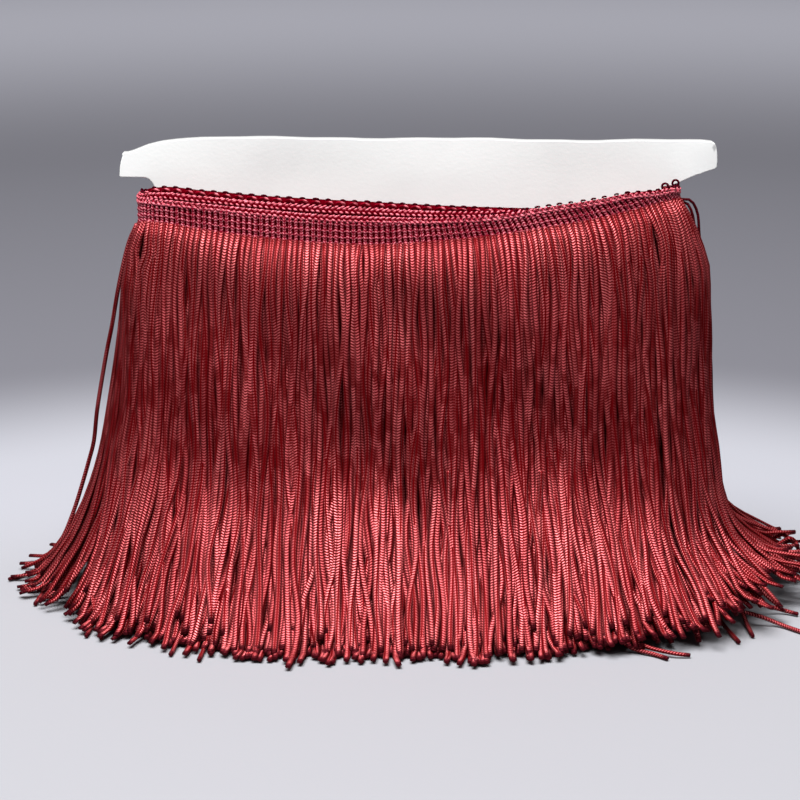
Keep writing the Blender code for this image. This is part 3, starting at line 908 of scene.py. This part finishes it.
def ribTubes(turn):
    outline = turnAt(turn)
    count = ribCount(outline)
    at = (np.arange(count) + roll["shift"] * turn) * outline["girth"] / count
    top = edgeLevel(turn, at, tape["clothTop"])
    points, radii = [], []
    for level in np.arange(*tape["ribHeights"]):
        near = min(abs(level - row) for row in tape["rows"])
        bead = math.exp(-((near / tape["beadHalf"]) ** 2))
        radii.append(tape["ribRadius"] + (tape["beadRadius"] - tape["ribRadius"]) * bead)
        proud = np.full(count, tape["beadProud"] * bead - tape["ribSink"])
        here, place = onTurn(turn, at, np.minimum(level, top), proud)
        points.append(here)
    tone = np.random.default_rng(5 + turn).uniform(0.2, 1.0, count)
    return tubes(np.stack(points, axis=1), place["side"][:, None, :], np.array(radii)[None, :], 6, tone)


def chainRow(turn, level):
    outline = turnAt(turn)
    steps = ribCount(outline) * tape["rowSteps"]
    at = np.arange(steps) * outline["girth"] / steps
    wave = 2 * math.pi * (np.arange(steps) / tape["rowSteps"] - roll["shift"] * turn)
    level = np.minimum(level, edgeLevel(turn, at, tape["clothTop"]))
    points, place = onTurn(turn, at, level, tape["rowSwing"] * np.cos(wave))
    return tubes(points[None], place["out"][None], tape["rowRadius"], 4, 0.8, closed=True)


def stitchRow(turn, kind):
    # separate stitches side by side, thin at both ends
    row = stitchRows[kind]
    outline = turnAt(turn)
    count = int(ribCount(outline) * row["perRib"])
    pitch = outline["girth"] / count
    chance = np.random.default_rng(60 + 10 * turn + list(stitchRows).index(kind))
    jitter = stitchSet["jitter"] * chance.normal(size=count)
    middle = (np.arange(count) + row["phase"] + roll["shift"] * turn + jitter) * pitch
    big = chance.uniform(*stitchSet["sizes"], count)
    if "after" in row:
        place = placesOn(outline, middle)
        kept = (place["x"] > row["after"]) & (place["y"] < 0.0)
        middle, big = middle[kept], big[kept]
        count = len(middle)
    bend = stitchSet["bend"] * row["half"] if row["perRib"] < 1.0 else 0.0
    points, radii = [], []
    for share in np.linspace(-1.0, 1.0, row["steps"]):
        at = middle + share * row["half"] * big
        rise = row["slope"] * share * row["half"] + bend * (stitchSet["bendFoot"] - share**2)
        level = edgeLevel(turn, at, row["below"]) + rise
        proud = np.full(count, stitchSet["proud"] + stitchSet["prouder"] * (1.0 - share**2))
        here, place = onTurn(turn, at, level, proud)
        points.append(here)
        radii.append(row["radius"] * big * (stitchSet["thinEnds"] if abs(share) > 0.99 else 1.0))
    tone = chance.integers(0, stitchSet["tones"], count) / (stitchSet["tones"] - 1)
    return tubes(np.stack(points, axis=1), place["out"][:, None, :], np.stack(radii, axis=1), 5, tone)


def shadeClothBand(turn):
    # the cloth of a turn, a thin upright band behind its ribs, near black: painted shade in the holes
    # between them
    outline = turnAt(turn)
    steps = tape["clothSteps"]
    at = np.arange(steps) * outline["girth"] / steps
    top = edgeLevel(turn, at, tape["clothTop"] - tape["clothRadius"])
    middle = (top - tape["clothFoot"]) / 2
    points, place = onTurn(turn, at, middle, np.full(steps, -tape["clothBehind"]))
    half = ((top + tape["clothFoot"]) / 2)[None]
    return tubes(points[None], place["out"][None], tape["clothRadius"], 8, 0.0, tall=half, closed=True)


def openLoop(place):
    angles = 2 * math.pi * np.arange(openLoops["steps"]) / openLoops["steps"]
    x = place[0] + openLoops["wide"] * np.cos(angles)
    z = place[2] + openLoops["wide"] * np.sin(angles)
    points = np.stack([x, np.full(openLoops["steps"], place[1]), z], axis=-1) / 1000.0
    return tubes(points[None], (0.0, 1.0, 0.0), openLoops["radius"], 5, 0.5, closed=True)


chainRows = [chainRow(0, level) for level in tape["rows"]]
outerTurn = joinParts("outerTurn", [ribTubes(0), *chainRows], tapeMaterial)

knotParts = [stitchRow(turn, kind) for turn in (0, 1) for kind in ("top", "under")]
knotParts.append(stitchRow(1, "third"))
for turn in range(roll["crestTurn"], roll["turns"]):
    knotParts.append(stitchRow(turn, "arch"))
    knotParts.append(stitchRow(turn, "latticeUpper"))
knotParts.append(stitchRow(roll["crestTurn"], "latticeLower"))
plumpStitches = joinParts("plumpStitches", knotParts, knotMaterial)

loopParts = [stitchRow(turn, "loop") for turn in range(roll["crestTurn"], roll["turns"])]
loopParts.append(stitchRow(0, "edgeLoop"))
loopParts += [openLoop(place) for place in openLoops["places"]]
edgeLoops = joinParts("edgeLoops", loopParts, loopMaterial)
# the near-black cloth band is painted shade behind the ribs
shadeCloth = joinParts("shadeCloth", [shadeClothBand(turn) for turn in range(roll["turns"])], shadeMaterial)
print("tape: done")


# the card: one white board with a clipped corner, a rounded notch and a soft, worn right corner
board = {
    "thickness": cardHigh.y - cardLow.y,
    "edgeRound": 0.00025,
    "cutsUp": (0.138, 0.003),  # extra rows of points to bend it by: lowest height and distance
    "cutsAcross": (-0.096, 0.1, 0.006),
    "bendAbove": 0.145,  # it bends above this height, fully this much higher
    "bendOver": 0.01,
    "curl": 0.0016,  # its right end curls forwards, beyond this x and over this length
    "curlFrom": 0.09,
    "curlOver": 0.011,
    "waver": 0.00022,
    "waverTurns": 70.0,  # radians to a metre, here and in the worn edge
    "wornEdge": ((0.00018, 95.0, 0.0), (0.00012, 260.0, 2.0)),
    "wornDepth": 0.002,
}
cardEdge = (  # x and height in millimetres, from the foot of the neck round to the left flange
    (81.5, 0.0), (81.5, 139.8), (84.6, 140.2), (87.4, 141.4), (90.7, 142.9), (92.7, 143.8), (94.0, 144.1),
    (95.4, 144.7), (99.0, 145.9), (99.6, 146.4), (99.7, 149.0), (99.5, 151.5), (99.2, 153.2), (98.7, 154.4),
    (97.6, 155.0), (94.2, 155.2), (85.9, 155.3), (77.5, 155.4), (52.0, 155.4), (27.4, 155.7), (2.3, 155.9),
    (-22.7, 156.1), (-47.8, 156.3), (-64.5, 156.4), (-72.8, 156.2), (-80.9, 155.8), (-84.9, 155.4),
    (-86.9, 155.0), (-91.0, 153.6), (-95.0, 152.0), (-97.0, 151.4), (-98.3, 151.4), (-98.9, 150.9),
    (-98.8, 150.1), (-99.4, 148.4), (-99.8, 146.0), (-100.0, 143.6), (-99.7, 143.1), (-92.1, 143.0),
)
notch = {"across": 0.004, "down": 0.005}


def cardOutline():
    outline = [(x / 1000.0, z / 1000.0) for x, z in cardEdge]
    lastX, lastZ = outline[-1]
    for step in range(1, 7):
        angle = math.radians(90.0 - 15.0 * step)
        x = lastX + notch["across"] * math.cos(angle)
        outline.append((x, lastZ - notch["down"] * (1.0 - math.sin(angle))))
    outline.append((outline[-1][0], 0.0))
    return outline


def cutAt(bm, place, way):
    geometry = bm.verts[:] + bm.edges[:] + bm.faces[:]
    bmesh.ops.bisect_plane(bm, geom=geometry, plane_co=place, plane_no=way)


def makeCard(material):
    bm = bmesh.new()
    points = [bm.verts.new((x, -board["thickness"] / 2, z)) for x, z in cardOutline()]
    face = bm.faces.new(points)
    grown = bmesh.ops.extrude_face_region(bm, geom=[face], use_keep_orig=True)
    moved = [v for v in grown["geom"] if isinstance(v, bmesh.types.BMVert)]
    bmesh.ops.translate(bm, verts=moved, vec=(0.0, board["thickness"], 0.0))
    bmesh.ops.recalc_face_normals(bm, faces=bm.faces)
    sharp = [e for e in bm.edges if e.calc_face_angle(0.0) > math.radians(50.0)]
    bmesh.ops.bevel(
        bm, geom=sharp, offset=board["edgeRound"], segments=2, profile=0.5, affect="EDGES", material=-1
    )
    cutAt(bm, (0, 0, 0), (0, 1, 0))
    edgeMiddle = bm.verts.layers.float.new("edgeMiddle")
    for vert in bm.verts:
        vert[edgeMiddle] = 1.0 - abs(vert.co.y) / (board["thickness"] / 2)
    cutsFrom, cutStep = board["cutsUp"]
    for cut in np.arange(cutsFrom, cardHigh.z - 0.001, cutStep):
        cutAt(bm, (0, 0, cut), (0, 0, 1))
    for cut in np.arange(*board["cutsAcross"]):
        cutAt(bm, (cut, 0, 0), (1, 0, 0))
    for vert in bm.verts:
        x, z = vert.co.x, vert.co.z
        high = max(0.0, min(1.0, (z - board["bendAbove"]) / board["bendOver"]))
        far = max(0.0, (x - board["curlFrom"]) / board["curlOver"])
        vert.co.y -= board["curl"] * far**2 * high
        vert.co.y += board["waver"] * high * math.sin(board["waverTurns"] * x + 1.0)
        if z > cardHigh.z - board["wornDepth"]:
            vert.co.z += sum(deep * math.sin(turns * x + start) for deep, turns, start in board["wornEdge"])
    mesh = bpy.data.meshes.new("cardBoard")
    bm.to_mesh(mesh)
    bm.free()
    mesh.shade_smooth()
    mesh.set_sharp_from_angle(angle=math.radians(15.0))
    mesh.materials.append(material)
    return addObject("cardBoard", mesh)


paper = {
    "face": (0.845, 0.858, 0.85, 1.0),
    "worn": (0.7, 0.7, 0.7, 1.0),
    # painted shade in a crease at the card's right corner
    "creaseShade": (0.3, 0.3, 0.31, 1.0),
    "creasePlace": (0.0985, 0.1532),
    "creaseFade": (0.0006, 0.0022),
    "creaseShare": 0.7,
    "edgeMiddle": (0.25, 0.25, 0.248, 1.0),  # grey along the middle of the card's thin edges
    "coreFrom": (0.03, 0.15),
    "cloudScale": 28.0,
    "clouds": (0.45, 0.75),
    "wornShare": 0.35,
    "fibreScale": 900.0,
    "fibreBump": (0.12, 0.0003),
    "roughness": 0.55,
    "gloss": 0.35,
}


def makePaper():
    made, tree, shader = newMaterial("whiteBoard", paper)
    place = tree.nodes.new("ShaderNodeTexCoord").outputs["Object"]
    fibres = noiseNode(tree, place, paper["fibreScale"], 4.0, 0.6)
    clouds = noiseNode(tree, place, paper["cloudScale"])
    worn = times(tree, rangeNode(tree, clouds, *paper["clouds"]), paper["wornShare"])
    colour = mixColour(tree, worn, paper["face"], paper["worn"])
    x, _, z = splitVector(tree, place)
    # painted shade where the right corner is creased
    across = times(tree, minus(tree, x, paper["creasePlace"][0]), 2.0)
    upwards = minus(tree, z, paper["creasePlace"][1])
    away = plus(tree, mathNode(tree, "ABSOLUTE", across), mathNode(tree, "ABSOLUTE", upwards))
    creaseShadeShare = rangeNode(tree, away, *paper["creaseFade"], paper["creaseShare"], 0.0)
    colour = mixColour(tree, creaseShadeShare, colour, paper["creaseShade"])
    edgeMiddle = rangeNode(tree, attributeNode(tree, "edgeMiddle"), *paper["coreFrom"])
    colour = mixColour(tree, edgeMiddle, colour, paper["edgeMiddle"])
    connect(tree, colour, shader.inputs["Base Color"])
    connect(tree, bumpNode(tree, fibres, *paper["fibreBump"]), shader.inputs["Normal"])
    return made


cardBoard = makeCard(makePaper())
print("card: done")


# floor: a pale table with painted light and shade that falls into grey behind the roll
stage = {
    "size": 8.0,
    "middleY": -0.1,
    "pale": (0.218, 0.218, 0.234, 1.0),
    "paler": (0.242, 0.2435, 0.268, 1.0),  # painted light beside and behind the roll
    "palerPlace": (-0.03, 0.11),
    # painted shade on the table behind the roll
    "dark": (0.1, 0.099, 0.114, 1.0),
    "darkPlace": (0.285, 0.44),
    # painted light on the far table
    "far": (0.43, 0.429, 0.483, 1.0),
    "farPlace": (0.95, 1.95),
    "near": (0.05, 0.05, 0.056, 1.0),  # painted shade: the table is dark in front and at both sides of the picture
    "nearPlace": (-0.215, -0.3),
    "sidePlace": (0.16, 0.215),
    "sideSlope": 0.17,
    "sideBack": (0.42, 0.25),
    "roughness": 0.75,
    "gloss": 0.2,
}


def makeFloor():
    bm = bmesh.new()
    bmesh.ops.create_grid(bm, x_segments=8, y_segments=8, size=stage["size"] / 2)
    mesh = bpy.data.meshes.new("floor")
    bm.to_mesh(mesh)
    bm.free()
    made, tree, shader = newMaterial("paleTable", stage)
    x, y, _ = splitVector(tree, tree.nodes.new("ShaderNodeTexCoord").outputs["Object"])
    depth = mathNode(tree, "POWER", minus(tree, y, stage["middleY"]), 2.0)
    distance = mathNode(tree, "SQRT", plus(tree, mathNode(tree, "POWER", x, 2.0), depth))
    colour = mixColour(tree, rangeNode(tree, y, *stage["palerPlace"]), stage["pale"], stage["paler"])
    colour = mixColour(tree, rangeNode(tree, distance, *stage["darkPlace"]), colour, stage["dark"])
    colour = mixColour(tree, rangeNode(tree, distance, *stage["farPlace"]), colour, stage["far"])
    colour = mixColour(tree, rangeNode(tree, y, *stage["nearPlace"]), colour, stage["near"])
    aside = minus(tree, mathNode(tree, "ABSOLUTE", x), times(tree, y, stage["sideSlope"]))
    aside = rangeNode(tree, aside, *stage["sidePlace"])
    aside = times(tree, aside, rangeNode(tree, y, *stage["sideBack"]))
    colour = mixColour(tree, aside, colour, stage["near"])
    connect(tree, colour, shader.inputs["Base Color"])
    mesh.materials.append(made)
    addObject("floor", mesh)


makeFloor()

# light: a tall soft panel in front, and one light for the far table
lights = (
    {"name": "panel", "place": (-0.14, -0.36, 1.52), "aim": (0, 0, 0.07), "size": (1.2, 1.3), "power": 88.0},
    {"name": "farLight", "place": (0, 1.6, 1.6), "aim": (0, 1.3, 0), "size": (1.6, 1.6), "power": 8.0},
)
surround = {"colour": (0.8, 0.82, 0.88, 1.0), "strength": 0.1}


def makeLights():
    for row in lights:
        data = bpy.data.lights.new(row["name"], "AREA")
        data.energy = row["power"]
        data.shape = "RECTANGLE"
        data.size, data.size_y = row["size"]
        made = addObject(row["name"], data)
        made.location = row["place"]
        aim = Vector(row["aim"]) - made.location
        made.rotation_euler = aim.to_track_quat("-Z", "Y").to_euler()
    world = bpy.data.worlds.new("studio")
    world.use_nodes = True
    setValues(world.node_tree.nodes["Background"], Color=surround["colour"], Strength=surround["strength"])
    scene.world = world


makeLights()
print("stage and lights: done")


# every piece rides on the one body and stands for its plain solid
strandPieces = (*madeStrands.values(), looseStrands, archedStrands)
tapePieces = (outerTurn, plumpStitches, edgeLoops, shadeCloth)
for piece in (*strandPieces, *tapePieces, cardBoard):
    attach(piece, "root")
sides = ("front", "right", "back", "left")
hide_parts(*(f"fringe_outer_{side}" for side in sides))
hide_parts(*(f"fringe_inner_{side}" for side in sides))
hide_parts("wound_tape")
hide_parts("card")
